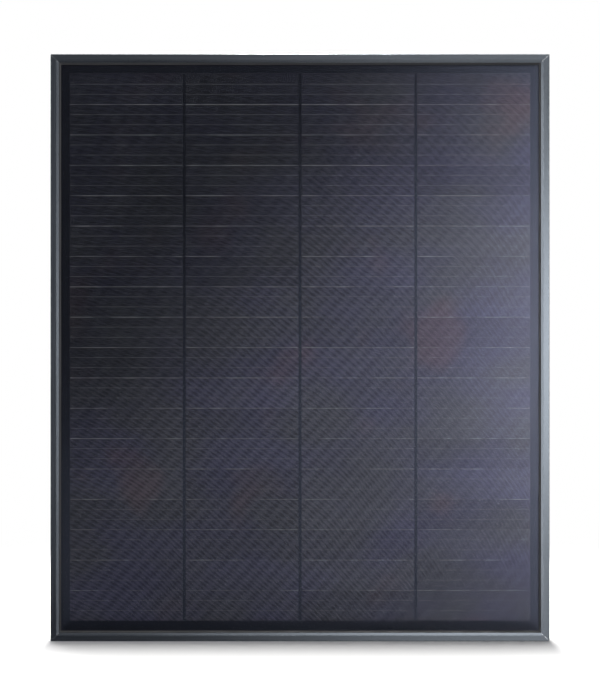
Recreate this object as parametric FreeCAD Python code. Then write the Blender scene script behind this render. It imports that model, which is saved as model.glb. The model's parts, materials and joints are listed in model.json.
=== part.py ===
import FreeCAD, Part
import math
import os

# A framed solar panel of shingled cells, standing upright.
# X is the width and Z the height, and the glass faces -Y.
# The origin is the middle of the panel on the plane of the frame's rear flanges.
# Places through the thickness are depths, counted back from the front of the frame.

# Overall size, millimetres
PANEL_WIDTH = 692.0
PANEL_HEIGHT = 814.0
PANEL_DEPTH = 30.0
HALF_WIDTH = PANEL_WIDTH / 2
HALF_HEIGHT = PANEL_HEIGHT / 2

# Frame rail section: insets are counted inward from the rail's outer face
WALL = 1.6
LIP_FLAT = 8.1
LIP_REACH = 11.7
LIP_BEVEL_DROP = 0.9
LIP_THICKNESS = 1.9
OUTER_EDGE_RADIUS = 0.8
WEB_INNER_INSET = 10.0
FLANGE_REACH = 28.0
FLANGE_THICKNESS = 1.5
MITRE_GAP = 0.05

# Laminate stack, front to back
GLASS_INSET = 4.0
BEDDING = 0.4
GLASS_THICKNESS = 3.2
GLASS_ARRIS = 0.4
FRONT_ENCAPSULANT_THICKNESS = 0.45
CELL_LAYER_THICKNESS = 0.45
REAR_ENCAPSULANT_THICKNESS = 0.8
BACKSHEET_THICKNESS = 0.35
GLASS_FRONT = LIP_THICKNESS + BEDDING
GLASS_BACK = GLASS_FRONT + GLASS_THICKNESS
CELLS_FRONT = GLASS_BACK + FRONT_ENCAPSULANT_THICKNESS
CELLS_BACK = CELLS_FRONT + CELL_LAYER_THICKNESS
REAR_ENCAPSULANT_BACK = CELLS_BACK + REAR_ENCAPSULANT_THICKNESS
BACKSHEET_BACK = REAR_ENCAPSULANT_BACK + BACKSHEET_THICKNESS
SHELF_FRONT = BACKSHEET_BACK + BEDDING
SHELF_BACK = SHELF_FRONT + FLANGE_THICKNESS
SEALANT_SQUEEZE_OUT = 1.1

# Holes in the rear flanges
FLANGE_HOLE_INSET = 20.0
MOUNTING_HOLE_RADIUS = 3.5
MOUNTING_HOLE_SPACING = 580.0
MOUNTING_SLOT_WIDTH = 9.0
MOUNTING_SLOT_LENGTH = 14.0
MOUNTING_SLOT_SPACING = 400.0
GROUNDING_HOLE_RADIUS = 2.1
DRAIN_SLOT_WIDTH = 4.0
DRAIN_SLOT_LENGTH = 10.0
DRAIN_SLOT_SPACING = 580.0

# Corner keys, and the round dimples that crimp each rail onto them
KEY_CLEARANCE = 0.2
KEY_LEG = 48.0
KEY_WALL = 2.0
CRIMP_PLACES = (20.0, 36.0)
CRIMP_DEPTH = 0.5
CRIMP_BALL_RADIUS = 3.5
CRIMP_CENTRE_DEPTH = 19.0

# Cell strings
STRING_COUNT = 4
STRIPS_PER_STRING = 18
STRIP_WIDTH = 156.75
STRIP_THICKNESS = 0.2
STRIP_PITCH = 42.2
STRIP_OVERLAP = 1.2
STRIP_GAP = 0.02
STRING_GAP = 4.25
FIELD_MARGIN = 25.5
STRIP_HEIGHT = STRIP_PITCH + STRIP_OVERLAP
STRIP_TILT = math.degrees(math.asin((STRIP_THICKNESS + STRIP_GAP) / STRIP_PITCH))
STRING_PITCH = STRIP_WIDTH + STRING_GAP
FIELD_WIDTH = STRING_PITCH * (STRING_COUNT - 1) + STRIP_WIDTH
FIELD_TOP = HALF_HEIGHT - FIELD_MARGIN
FIELD_HEIGHT = STRIP_PITCH * STRIPS_PER_STRING + STRIP_OVERLAP
FIELD_BOTTOM = FIELD_TOP - FIELD_HEIGHT

# Ribbons
RIBBON_THICKNESS = 0.25
BUS_WIDTH = 6.0
BUS_SETBACK = 1.0
LEAD_WIDTH = 5.0
LEAD_SPACING = 28.0
INSULATION_WIDTH = 9.0
INSULATION_THICKNESS = 0.05
SLOT_COVER_LAP = 3.0
BUS_BACK = CELLS_BACK + RIBBON_THICKNESS
LEAD_BACK = BUS_BACK + RIBBON_THICKNESS

# Junction box
BOX_WIDTH = 110.0
BOX_BOTTOM = 265.0
BOX_TOP = 345.0
BOX_CORNER_RADIUS = 2.5
BOX_WALL = 4.0
BOX_FLOOR = 2.0
BOX_ADHESIVE = 0.8
BOX_ADHESIVE_INSET = 3.0
BOX_FRONT = BACKSHEET_BACK + BOX_ADHESIVE
BOX_FLOOR_BACK = BOX_FRONT + BOX_FLOOR
BOX_RIM = 24.6
LEAD_SLOT_WIDTH = 68.0
LEAD_SLOT_BOTTOM = 314.0
LEAD_SLOT_TOP = 322.0
LEAD_TAB_Z = 317.0

# Lid, its seal, hinge and lift tabs
LID_FRONT = 24.9
LID_BACK = 28.6
LID_PLATE = 2.0
LID_EDGE_RADIUS = 1.0
SEAL_INSET = 1.1
SEAL_WIDTH = 1.8
SEAL_GROOVE_DEPTH = 1.5
SEAL_PROUD = 0.25
SEAL_SIDE_GAP = 0.05
HINGE_OFFSET = 3.6
HINGE_Z = BOX_TOP + HINGE_OFFSET
HINGE_DEPTH = 24.5
HINGE_BOSS_RADIUS = 3.2
HINGE_PIN_RADIUS = 1.5
HINGE_CLEARANCE = 0.05
HINGE_CENTRE_X = 37.0
KNUCKLE_WIDTH = 7.2
EAR_GAP = 0.4
EAR_WIDTH = 3.0
EAR_FRONT = 20.0
TAB_CENTRE_X = 14.0
TAB_WIDTH = 12.0
TAB_THICKNESS = 1.6
TAB_CLEARANCE = 0.4
TAB_FRONT = 20.0

# Terminals inside the box
RAIL_WIDTH = 12.0
RAIL_THICKNESS = 1.2
RAIL_BOTTOM = 282.0
RAIL_TOP = 312.0
RAIL_FRONT = BOX_FLOOR_BACK + 2.0
RAIL_BACK = RAIL_FRONT + RAIL_THICKNESS
RAIL_SUPPORT_MARGIN = 2.0
PEG_Z = 286.0
PEG_RADIUS = 1.5
PEG_CLEARANCE = 0.1
LEAD_END_Z = 303.0
CLIP_BOTTOM = 304.0
CLIP_TOP = 311.0
CLIP_THICKNESS = 0.5
CLIP_SIDE_GAP = 0.05
DIODE_Z = 296.0
DIODE_RADIUS = 2.7
DIODE_LENGTH = 9.0
DIODE_LEAD_RADIUS = 0.6
DIODE_LEAD_REACH = 12.0

# Cable glands on the lower wall of the box
GLAND_CENTRE_X = 35.0
GLAND_DEPTH = 16.4
NECK_LENGTH = 12.0
NECK_RADIUS = 6.2
NECK_CLEARANCE = 0.1
SEAL_POCKET_RADIUS = 4.6
SEAL_POCKET_LENGTH = 8.0
CABLE_HOLE_RADIUS = 3.4
GLAND_SEAL_RADIUS = 4.55
GLAND_SEAL_BORE_RADIUS = 3.0
NUT_ACROSS_FLATS = 15.0
NUT_ROUND_RADIUS = 8.2
NUT_TOP_GAP = 3.0
NUT_LIP_GAP = 0.6
NUT_LIP = 2.4

# Blank rating label
LABEL_WIDTH = 100.0
LABEL_HEIGHT = 60.0
LABEL_THICKNESS = 0.15
LABEL_CENTRE_Z = 170.0


def point(x, depth, z):
    """A point at a depth behind the front of the frame."""
    return FreeCAD.Vector(x, depth - PANEL_DEPTH, z)


def block(x_span, z_span, depth_span):
    """A box between two X, two Z and two depths."""
    size_x = x_span[1] - x_span[0]
    size_y = depth_span[1] - depth_span[0]
    size_z = z_span[1] - z_span[0]
    return Part.makeBox(size_x, size_y, size_z, point(x_span[0], depth_span[0], z_span[0]))


def about(centre, width):
    """The span of a given width about a centre."""
    return (centre - width / 2, centre + width / 2)


def sheet(inset, depth_span):
    """A plate as large as the panel less an inset on every side."""
    half_x = HALF_WIDTH - inset
    half_z = HALF_HEIGHT - inset
    return block((-half_x, half_x), (-half_z, half_z), depth_span)


def round_bar(radius, x_span, depth, z):
    """A cylinder along X."""
    start = point(x_span[0], depth, z)
    return Part.makeCylinder(radius, x_span[1] - x_span[0], start, FreeCAD.Vector(1, 0, 0))


def upright_bar(radius, z_span, x, depth):
    """A cylinder along Z."""
    start = point(x, depth, z_span[0])
    return Part.makeCylinder(radius, z_span[1] - z_span[0], start, FreeCAD.Vector(0, 0, 1))


def peg_bar(radius, depth_span, x, z):
    """A cylinder along Y."""
    start = point(x, depth_span[0], z)
    return Part.makeCylinder(radius, depth_span[1] - depth_span[0], start, FreeCAD.Vector(0, 1, 0))


def slot_bar(length, width, depth_span, x, z):
    """A round-ended bar through the thickness, long in X."""
    radius = width / 2
    middle_span = about(x, length - width)
    bar = block(middle_span, about(z, width), depth_span)
    for end_x in middle_span:
        bar = bar.fuse(peg_bar(radius, depth_span, end_x, z))
    return bar


def edges_along_y(shape):
    """The straight edges of a shape that run through the thickness."""
    found = []
    for edge in shape.Edges:
        start = edge.Vertexes[0].Point
        end = edge.Vertexes[-1].Point
        if abs(start.x - end.x) < 1e-6 and abs(start.z - end.z) < 1e-6:
            found.append(edge)
    return found


def edges_at_depth(shape, depth):
    """The edges of a shape that lie in one plane parallel to the glass."""
    y = depth - PANEL_DEPTH
    found = []
    for edge in shape.Edges:
        if abs(edge.BoundBox.YMin - y) < 1e-6 and abs(edge.BoundBox.YMax - y) < 1e-6:
            found.append(edge)
    return found


# ---------------------------------------------------------------- frame

def rail_section(x):
    """The outline of the extrusion as a wire at one X: inset is Z here, and the chamber is cut later."""
    corner = OUTER_EDGE_RADIUS
    arc_middle = corner * (1 - math.sqrt(0.5))
    corners = [
        (corner, 0.0),
        (LIP_FLAT, 0.0),
        (LIP_REACH, LIP_BEVEL_DROP),
        (LIP_REACH, LIP_THICKNESS),
        (WALL, LIP_THICKNESS),
        (WALL, SHELF_FRONT),
        (LIP_REACH, SHELF_FRONT),
        (LIP_REACH, PANEL_DEPTH - FLANGE_THICKNESS),
        (FLANGE_REACH, PANEL_DEPTH - FLANGE_THICKNESS),
        (FLANGE_REACH, PANEL_DEPTH),
        (0.0, PANEL_DEPTH),
        (0.0, corner),
    ]
    points = [point(x, depth, inset) for inset, depth in corners]
    edges = [Part.LineSegment(a, b).toShape() for a, b in zip(points, points[1:])]
    rounded = Part.Arc(points[-1], point(x, arc_middle, arc_middle), points[0])
    edges.append(rounded.toShape())
    return Part.Wire(edges)


def plain_rail(length):
    """One rail along X with mitred ends, its outer face at Z = 0 and the panel's middle towards +Z."""
    half = length / 2
    bar = Part.Face(rail_section(-half)).extrude(FreeCAD.Vector(length, 0, 0))
    chamber_depths = (SHELF_BACK, PANEL_DEPTH - FLANGE_THICKNESS)
    bar = bar.cut(block((-half, half), (WALL, WEB_INNER_INSET), chamber_depths))
    outer = half - MITRE_GAP
    inner = outer - FLANGE_REACH
    trapezium = Part.makePolygon([
        point(-outer, 0, 0),
        point(outer, 0, 0),
        point(inner, 0, FLANGE_REACH),
        point(-inner, 0, FLANGE_REACH),
        point(-outer, 0, 0),
    ])
    bar = bar.common(Part.Face(trapezium).extrude(FreeCAD.Vector(0, PANEL_DEPTH, 0)))
    for from_corner in CRIMP_PLACES:
        for side in (-1, 1):
            ball_inset = CRIMP_DEPTH - CRIMP_BALL_RADIUS
            centre = point(side * (half - from_corner), CRIMP_CENTRE_DEPTH, ball_inset)
            bar = bar.cut(Part.makeSphere(CRIMP_BALL_RADIUS, centre))
    return bar


def side_rail():
    """A long rail with its mounting holes, mounting slots and grounding hole."""
    rail = plain_rail(PANEL_HEIGHT)
    flange = (PANEL_DEPTH - FLANGE_THICKNESS, PANEL_DEPTH)
    for side in (-1, 1):
        hole_x = side * MOUNTING_HOLE_SPACING / 2
        slot_x = side * MOUNTING_SLOT_SPACING / 2
        rail = rail.cut(peg_bar(MOUNTING_HOLE_RADIUS, flange, hole_x, FLANGE_HOLE_INSET))
        slot = slot_bar(MOUNTING_SLOT_LENGTH, MOUNTING_SLOT_WIDTH, flange, slot_x, FLANGE_HOLE_INSET)
        rail = rail.cut(slot)
    return rail.cut(peg_bar(GROUNDING_HOLE_RADIUS, flange, 0, FLANGE_HOLE_INSET))


def end_rail():
    """A short rail with two drain slots."""
    rail = plain_rail(PANEL_WIDTH)
    flange = (PANEL_DEPTH - FLANGE_THICKNESS, PANEL_DEPTH)
    for x in about(0, DRAIN_SLOT_SPACING):
        rail = rail.cut(slot_bar(DRAIN_SLOT_LENGTH, DRAIN_SLOT_WIDTH, flange, x, FLANGE_HOLE_INSET))
    return rail


def placed_rail(rail, turn, offset_x, offset_z):
    """A rail turned about Y and moved out to its side of the panel."""
    rail.rotate(FreeCAD.Vector(0, 0, 0), FreeCAD.Vector(0, 1, 0), turn)
    rail.translate(FreeCAD.Vector(offset_x, 0, offset_z))
    return rail


def corner_key(side_x, side_z):
    """An L of aluminium that fills the hollow chambers of two rails at one corner."""
    near = WALL + KEY_CLEARANCE
    far = WEB_INNER_INSET - KEY_CLEARANCE
    front = SHELF_BACK + KEY_CLEARANCE
    back = PANEL_DEPTH - FLANGE_THICKNESS - KEY_CLEARANCE
    outline = [(near, near), (KEY_LEG, near), (KEY_LEG, far), (far, far), (far, KEY_LEG), (near, KEY_LEG)]
    window_span = (far + KEY_WALL, KEY_LEG - KEY_WALL)
    window_width = (near + KEY_WALL, far - KEY_WALL)

    def at_corner(inset_x, inset_z):
        return point(side_x * (HALF_WIDTH - inset_x), front, side_z * (HALF_HEIGHT - inset_z))

    def prism(insets):
        corners = [at_corner(a, b) for a, b in insets]
        face = Part.Face(Part.makePolygon(corners + corners[:1]))
        return face.extrude(FreeCAD.Vector(0, back - front, 0))

    def rectangle(span_a, span_b):
        return [(span_a[0], span_b[0]), (span_a[1], span_b[0]), (span_a[1], span_b[1]), (span_a[0], span_b[1])]

    key = prism(outline)
    key = key.cut(prism(rectangle(window_span, window_width)))
    return key.cut(prism(rectangle(window_width, window_span)))


def edge_sealant():
    """The silicone that beds the laminate's edge in the rails' slot, one ring all round."""
    ring = sheet(WALL, (LIP_THICKNESS, SHELF_FRONT))
    ring = ring.cut(sheet(GLASS_INSET, (GLASS_FRONT, BACKSHEET_BACK)))
    window_inset = LIP_REACH + SEALANT_SQUEEZE_OUT
    return ring.cut(sheet(window_inset, (LIP_THICKNESS, SHELF_FRONT)))


# ---------------------------------------------------------------- laminate

def front_glass():
    """The pane, with its edges ground to a small arris."""
    pane = sheet(GLASS_INSET, (GLASS_FRONT, GLASS_BACK))
    return pane.makeChamfer(GLASS_ARRIS, pane.Edges)


def cell_string(index):
    """One column of cell strips, each lying over the top edge of the strip below it."""
    left = -FIELD_WIDTH / 2 + index * STRING_PITCH
    strips = []
    for row in range(STRIPS_PER_STRING):
        bottom_edge = point(left, CELLS_FRONT, FIELD_BOTTOM + row * STRIP_PITCH)
        strip = Part.makeBox(STRIP_WIDTH, STRIP_THICKNESS, STRIP_HEIGHT, bottom_edge)
        strip.rotate(bottom_edge, FreeCAD.Vector(1, 0, 0), -STRIP_TILT)
        strips.append(strip)
    return Part.makeCompound(strips)


def bus_ribbon(x_span, edge_z, inward):
    """A flat ribbon behind the end strips, set back a little from the strings' end."""
    near = edge_z + inward * BUS_SETBACK
    far = near + inward * BUS_WIDTH
    return block(x_span, (min(near, far), max(near, far)), (CELLS_BACK, BUS_BACK))


def lead(x, far_z):
    """A ribbon from a bus ribbon up or down to the box, through the backsheet and onto a terminal rail."""
    x_span = about(x, LEAD_WIDTH)
    tab_span = (LEAD_TAB_Z, LEAD_TAB_Z + RIBBON_THICKNESS)
    run_span = (min(far_z, LEAD_TAB_Z), max(far_z, tab_span[1]))
    run = block(x_span, run_span, (BUS_BACK, LEAD_BACK))
    tab = block(x_span, tab_span, (BUS_BACK, RAIL_BACK + RIBBON_THICKNESS))
    fold = block(x_span, (LEAD_END_Z, tab_span[1]), (RAIL_BACK, RAIL_BACK + RIBBON_THICKNESS))
    return run.fuse([tab, fold]).removeSplitter()


def lead_insulation():
    """Strips that keep the leads off the back of the cells, the middle one across the lead slot too."""
    depths = (CELLS_BACK, CELLS_BACK + INSULATION_THICKNESS)
    bus_inner_edge = BUS_SETBACK + BUS_WIDTH
    upper_end = FIELD_TOP - bus_inner_edge
    lower_end = FIELD_BOTTOM + bus_inner_edge
    strips = [block(about(0, INSULATION_WIDTH), (lower_end, LEAD_SLOT_TOP + SLOT_COVER_LAP), depths)]
    for x in (-LEAD_SPACING, LEAD_SPACING):
        strips.append(block(about(x, INSULATION_WIDTH), (LEAD_SLOT_TOP, upper_end), depths))
    return Part.makeCompound(strips)


def lead_slot(depth_span):
    """The slot that the leads pass through."""
    return block(about(0, LEAD_SLOT_WIDTH), (LEAD_SLOT_BOTTOM, LEAD_SLOT_TOP), depth_span)


def rear_encapsulant(buried):
    """The rear bonding sheet, with a pocket for the strings and for everything buried in it."""
    layer = sheet(GLASS_INSET, (CELLS_FRONT, REAR_ENCAPSULANT_BACK))
    field_z = (FIELD_BOTTOM - STRIP_GAP, FIELD_TOP + STRIP_GAP)
    field = block(about(0, FIELD_WIDTH), field_z, (CELLS_FRONT, CELLS_BACK))
    layer = layer.cut(field)
    layer = layer.cut(lead_slot((CELLS_BACK, REAR_ENCAPSULANT_BACK)))
    for piece in buried:
        layer = layer.cut(piece)
    return layer


def backsheet():
    """The black rear skin of the laminate, slotted for the leads."""
    skin = sheet(GLASS_INSET, (REAR_ENCAPSULANT_BACK, BACKSHEET_BACK))
    return skin.cut(lead_slot((REAR_ENCAPSULANT_BACK, BACKSHEET_BACK)))


def rating_label():
    """A blank sticker on the backsheet, below the junction box."""
    depths = (BACKSHEET_BACK, BACKSHEET_BACK + LABEL_THICKNESS)
    return block(about(0, LABEL_WIDTH), about(LABEL_CENTRE_Z, LABEL_HEIGHT), depths)


# ---------------------------------------------------------------- junction box

def box_plate(inset, depth_span):
    """A plate of the box's outline less an inset on every side."""
    return block(about(0, BOX_WIDTH - 2 * inset), (BOX_BOTTOM + inset, BOX_TOP - inset), depth_span)


def rounded_box_plate(depth_span):
    """The box's full outline with rounded corners."""
    plate = box_plate(0, depth_span)
    return plate.makeFillet(BOX_CORNER_RADIUS, edges_along_y(plate))


def box_ring(inset, width, depth_span):
    """A rectangular ring that follows the box's walls."""
    return box_plate(inset, depth_span).cut(box_plate(inset + width, depth_span))


def box_adhesive():
    """The silicone pad that holds the box to the backsheet."""
    pad = box_plate(BOX_ADHESIVE_INSET, (BACKSHEET_BACK, BOX_FRONT))
    return pad.cut(lead_slot((BACKSHEET_BACK, BOX_FRONT)))


def hinge_ears():
    """Four ears on the base's upper wall, two about each lid knuckle."""
    ears = []
    offset = KNUCKLE_WIDTH / 2 + EAR_GAP + EAR_WIDTH / 2
    for centre in (-HINGE_CENTRE_X, HINGE_CENTRE_X):
        for side in (-1, 1):
            x_span = about(centre + side * offset, EAR_WIDTH)
            arm = block(x_span, (BOX_TOP, HINGE_Z), (EAR_FRONT, HINGE_DEPTH))
            boss = round_bar(HINGE_BOSS_RADIUS, x_span, HINGE_DEPTH, HINGE_Z)
            bore = round_bar(HINGE_PIN_RADIUS, x_span, HINGE_DEPTH, HINGE_Z)
            ears.append(arm.fuse(boss).cut(bore))
    return ears


def terminal_support(x):
    """A rib under one terminal rail, with the peg that locates the rail."""
    rib_width = RAIL_WIDTH - 2 * RAIL_SUPPORT_MARGIN
    rib_z = (RAIL_BOTTOM + RAIL_SUPPORT_MARGIN, RAIL_TOP - RAIL_SUPPORT_MARGIN)
    rib = block(about(x, rib_width), rib_z, (BOX_FLOOR_BACK, RAIL_FRONT))
    return rib.fuse(peg_bar(PEG_RADIUS, (BOX_FLOOR_BACK, RAIL_BACK), x, PEG_Z))


def box_base():
    """The box's body: floor, walls, seal groove, hinge ears, terminal ribs and gland necks."""
    base = rounded_box_plate((BOX_FRONT, BOX_RIM))
    base = base.cut(box_plate(BOX_WALL, (BOX_FLOOR_BACK, BOX_RIM)))
    base = base.cut(box_ring(SEAL_INSET, SEAL_WIDTH, (BOX_RIM - SEAL_GROOVE_DEPTH, BOX_RIM)))
    base = base.cut(lead_slot((BOX_FRONT, BOX_FLOOR_BACK)))
    additions = hinge_ears()
    additions += [terminal_support(x) for x in TERMINAL_PLACES]
    neck_end = BOX_BOTTOM - NECK_LENGTH
    for x in GLAND_PLACES:
        additions.append(upright_bar(NECK_RADIUS, (neck_end, BOX_BOTTOM), x, GLAND_DEPTH))
    base = base.fuse(additions)
    for x in GLAND_PLACES:
        pocket_span = (neck_end, neck_end + SEAL_POCKET_LENGTH)
        base = base.cut(upright_bar(SEAL_POCKET_RADIUS, pocket_span, x, GLAND_DEPTH))
        hole_span = (pocket_span[1], BOX_BOTTOM + BOX_WALL)
        base = base.cut(upright_bar(CABLE_HOLE_RADIUS, hole_span, x, GLAND_DEPTH))
    return base.removeSplitter()


def lift_tab(x):
    """A tab over the base's lower wall, for lifting the lid."""
    x_span = about(x, TAB_WIDTH)
    tab_top = BOX_BOTTOM - TAB_CLEARANCE
    blade = block(x_span, (tab_top - TAB_THICKNESS, tab_top), (TAB_FRONT, LID_BACK - LID_EDGE_RADIUS))
    root = block(x_span, (tab_top, BOX_BOTTOM), (LID_FRONT, LID_BACK - LID_EDGE_RADIUS))
    return blade.fuse(root)


def box_lid():
    """The lid: a shallow tray with two hinge knuckles at its upper edge and two lift tabs below."""
    lid = rounded_box_plate((LID_FRONT, LID_BACK))
    lid = lid.makeFillet(LID_EDGE_RADIUS, edges_at_depth(lid, LID_BACK))
    lid = lid.cut(box_plate(BOX_WALL, (LID_FRONT, LID_BACK - LID_PLATE)))
    additions = [lift_tab(x) for x in (-TAB_CENTRE_X, TAB_CENTRE_X)]
    knuckle_spans = [about(x, KNUCKLE_WIDTH) for x in (-HINGE_CENTRE_X, HINGE_CENTRE_X)]
    for x_span in knuckle_spans:
        arm_depths = (LID_FRONT, LID_BACK - LID_EDGE_RADIUS)
        additions.append(block(x_span, (BOX_TOP, HINGE_Z), arm_depths))
        additions.append(round_bar(HINGE_BOSS_RADIUS, x_span, HINGE_DEPTH, HINGE_Z))
    lid = lid.fuse(additions)
    for x_span in knuckle_spans:
        lid = lid.cut(round_bar(HINGE_PIN_RADIUS + HINGE_CLEARANCE, x_span, HINGE_DEPTH, HINGE_Z))
    return lid.removeSplitter()


def lid_seal():
    """The ring in the base's groove, standing a little proud of the rim."""
    depths = (BOX_RIM - SEAL_GROOVE_DEPTH, BOX_RIM + SEAL_PROUD)
    return box_ring(SEAL_INSET + SEAL_SIDE_GAP, SEAL_WIDTH - 2 * SEAL_SIDE_GAP, depths)


def hinge_pin(centre):
    """A steel pin held in two ears, on which one knuckle turns."""
    length = KNUCKLE_WIDTH + 2 * (EAR_GAP + EAR_WIDTH)
    return round_bar(HINGE_PIN_RADIUS, about(centre, length), HINGE_DEPTH, HINGE_Z)


def terminal_rail(x):
    """A tinned strip that a lead and the diodes are joined to."""
    strip = block(about(x, RAIL_WIDTH), (RAIL_BOTTOM, RAIL_TOP), (RAIL_FRONT, RAIL_BACK))
    return strip.cut(peg_bar(PEG_RADIUS + PEG_CLEARANCE, (RAIL_FRONT, RAIL_BACK), x, PEG_Z))


def ribbon_clip(x):
    """A spring clip that holds a lead's end down on its terminal rail."""
    z_span = (CLIP_BOTTOM, CLIP_TOP)
    cap_front = RAIL_BACK + RIBBON_THICKNESS
    cap_back = cap_front + CLIP_THICKNESS
    half = RAIL_WIDTH / 2 + CLIP_SIDE_GAP + CLIP_THICKNESS
    clip = block((x - half, x + half), z_span, (RAIL_FRONT, cap_back))
    inner_width = RAIL_WIDTH + 2 * CLIP_SIDE_GAP
    return clip.cut(block(about(x, inner_width), z_span, (RAIL_FRONT, cap_front)))


def diode_body(x):
    """A bypass diode that lies between two terminal rails."""
    return round_bar(DIODE_RADIUS, about(x, DIODE_LENGTH), RAIL_BACK + DIODE_LEAD_RADIUS, DIODE_Z)


def diode_leads():
    """The wires from both diodes to the terminal rails."""
    wires = []
    for x in DIODE_PLACES:
        for side in (-1, 1):
            ends = sorted((x + side * DIODE_LENGTH / 2, x + side * DIODE_LEAD_REACH))
            wires.append(round_bar(DIODE_LEAD_RADIUS, ends, RAIL_BACK + DIODE_LEAD_RADIUS, DIODE_Z))
    return Part.makeCompound(wires)


def gland_seal(x):
    """The rubber sleeve that grips a cable in a gland neck."""
    neck_end = BOX_BOTTOM - NECK_LENGTH
    z_span = (neck_end, neck_end + SEAL_POCKET_LENGTH)
    sleeve = upright_bar(GLAND_SEAL_RADIUS, z_span, x, GLAND_DEPTH)
    return sleeve.cut(upright_bar(GLAND_SEAL_BORE_RADIUS, z_span, x, GLAND_DEPTH))


def gland_nut(x):
    """The hexagon cap nut on a gland neck, with a lip that presses on the seal."""
    top = BOX_BOTTOM - NUT_TOP_GAP
    lip_top = BOX_BOTTOM - NECK_LENGTH - NUT_LIP_GAP
    bottom = lip_top - NUT_LIP
    corner_radius = NUT_ACROSS_FLATS / math.sqrt(3)
    corners = []
    for step in range(7):
        angle = math.radians(60 * step)
        offset_x = corner_radius * math.cos(angle)
        offset_depth = corner_radius * math.sin(angle)
        corners.append(point(x + offset_x, GLAND_DEPTH + offset_depth, bottom))
    hexagon = Part.Face(Part.makePolygon(corners)).extrude(FreeCAD.Vector(0, 0, top - bottom))
    nut = hexagon.common(upright_bar(NUT_ROUND_RADIUS, (bottom, top), x, GLAND_DEPTH))
    nut = nut.cut(upright_bar(NECK_RADIUS + NECK_CLEARANCE, (lip_top, top), x, GLAND_DEPTH))
    return nut.cut(upright_bar(CABLE_HOLE_RADIUS, (bottom, lip_top), x, GLAND_DEPTH))


# ---------------------------------------------------------------- assembly

TERMINAL_PLACES = (-LEAD_SPACING, 0.0, LEAD_SPACING)
DIODE_PLACES = (-LEAD_SPACING / 2, LEAD_SPACING / 2)
GLAND_PLACES = (-GLAND_CENTRE_X, GLAND_CENTRE_X)
SIDES = (("left", -1), ("right", 1))


def frame_nodes():
    """The rails, the keys that join them and the sealant."""
    nodes = {
        "frame_rail_left": placed_rail(side_rail(), 90, -HALF_WIDTH, 0),
        "frame_rail_right": placed_rail(side_rail(), -90, HALF_WIDTH, 0),
        "frame_rail_top": placed_rail(end_rail(), 180, 0, HALF_HEIGHT),
        "frame_rail_bottom": placed_rail(end_rail(), 0, 0, -HALF_HEIGHT),
        "edge_sealant": edge_sealant(),
    }
    for level, side_z in (("lower", -1), ("upper", 1)):
        for name, side_x in SIDES:
            nodes[f"corner_key_{level}_{name}"] = corner_key(side_x, side_z)
    return nodes


def laminate_nodes():
    """Everything from the glass to the backsheet."""
    half_field = FIELD_WIDTH / 2
    bus_end = LEAD_SPACING - LEAD_WIDTH / 2
    lower_bus_edge = FIELD_BOTTOM + BUS_SETBACK
    upper_bus_edge = FIELD_TOP - BUS_SETBACK
    buried = {
        "bus_ribbon_bottom": bus_ribbon((-half_field, half_field), FIELD_BOTTOM, 1),
        "bus_ribbon_positive": bus_ribbon((-half_field, -bus_end), FIELD_TOP, -1),
        "bus_ribbon_negative": bus_ribbon((bus_end, half_field), FIELD_TOP, -1),
        "lead_positive": lead(-LEAD_SPACING, upper_bus_edge),
        "lead_middle": lead(0.0, lower_bus_edge),
        "lead_negative": lead(LEAD_SPACING, upper_bus_edge),
        "lead_insulation": lead_insulation(),
    }
    nodes = {
        "front_glass": front_glass(),
        "front_encapsulant": sheet(GLASS_INSET, (GLASS_BACK, CELLS_FRONT)),
        "rear_encapsulant": rear_encapsulant(buried.values()),
        "backsheet": backsheet(),
        "rating_label": rating_label(),
    }
    for index in range(STRING_COUNT):
        nodes[f"cell_string_{index + 1}"] = cell_string(index)
    nodes.update(buried)
    return nodes


def junction_box_nodes():
    """The box on the back, with its lid, terminals and glands."""
    nodes = {
        "junction_box_adhesive": box_adhesive(),
        "junction_box_base": box_base(),
        "junction_box_lid": box_lid(),
        "lid_seal": lid_seal(),
        "ribbon_clips": Part.makeCompound([ribbon_clip(x) for x in TERMINAL_PLACES]),
        "diode_leads": diode_leads(),
    }
    for name, x in zip(("positive", "middle", "negative"), TERMINAL_PLACES):
        nodes[f"terminal_rail_{name}"] = terminal_rail(x)
    for name, side in SIDES:
        nodes[f"lid_hinge_pin_{name}"] = hinge_pin(side * HINGE_CENTRE_X)
        nodes[f"bypass_diode_{name}"] = diode_body(side * LEAD_SPACING / 2)
        nodes[f"gland_seal_{name}"] = gland_seal(side * GLAND_CENTRE_X)
        nodes[f"gland_nut_{name}"] = gland_nut(side * GLAND_CENTRE_X)
    return nodes


def write_parts():
    """One STEP file for each piece."""
    os.makedirs("parts", exist_ok=True)
    for nodes in (frame_nodes(), laminate_nodes(), junction_box_nodes()):
        for name, shape in nodes.items():
            shape.exportStep(f"parts/{name}.step")


write_parts()
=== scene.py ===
"""The looks of a framed solar panel of shingled cells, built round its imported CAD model."""

import json
import math
import random

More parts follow.
